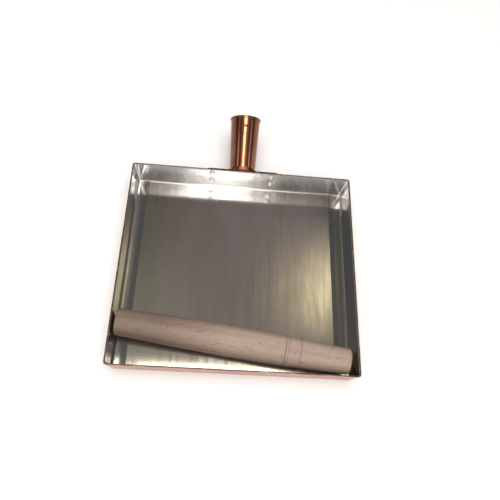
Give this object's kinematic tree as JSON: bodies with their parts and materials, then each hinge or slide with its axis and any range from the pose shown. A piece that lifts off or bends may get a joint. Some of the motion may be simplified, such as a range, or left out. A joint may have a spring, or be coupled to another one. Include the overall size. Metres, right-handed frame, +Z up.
{
  "type": "tamagoyaki pan",
  "caption": "Rectangular copper omelette pan, tinned inside, with a riveted tapered handle socket on its back wall and a loose turned wooden handle lying in the tray.",
  "frame": {"origin": "centre of the tray's flat underside", "axes": "+Z up; +Y from the tray towards the handle socket on its back wall; +X to the right seen from the front, towards the loose handle's tapered end"},
  "size_m": [0.24, 0.2881, 0.0574],
  "materials": {
    "copper_sheet": "copper sheet, satin, lightly brushed",
    "tin": "hand-wiped tin, bright satin with fine streaks",
    "socket_copper": "copper sheet, polished, dark",
    "rivet_copper": "copper, inner heads wiped with tin",
    "beech": "bare beech, sanded"
  },
  "bodies": {
    "pan": {"pan_body": "copper_sheet", "tin_lining": "tin", "handle_socket": "socket_copper", "rivet_left_upper": "rivet_copper", "rivet_left_lower": "rivet_copper", "rivet_right_upper": "rivet_copper", "rivet_right_lower": "rivet_copper"},
    "handle": {"wooden_handle": "beech"}
  },
  "joints": [
    {"name": "handle_lift", "type": "slide", "parent": "pan", "child": "handle", "axis": [0, 0, 1], "range_m": [0, 0.09]}
  ]
}
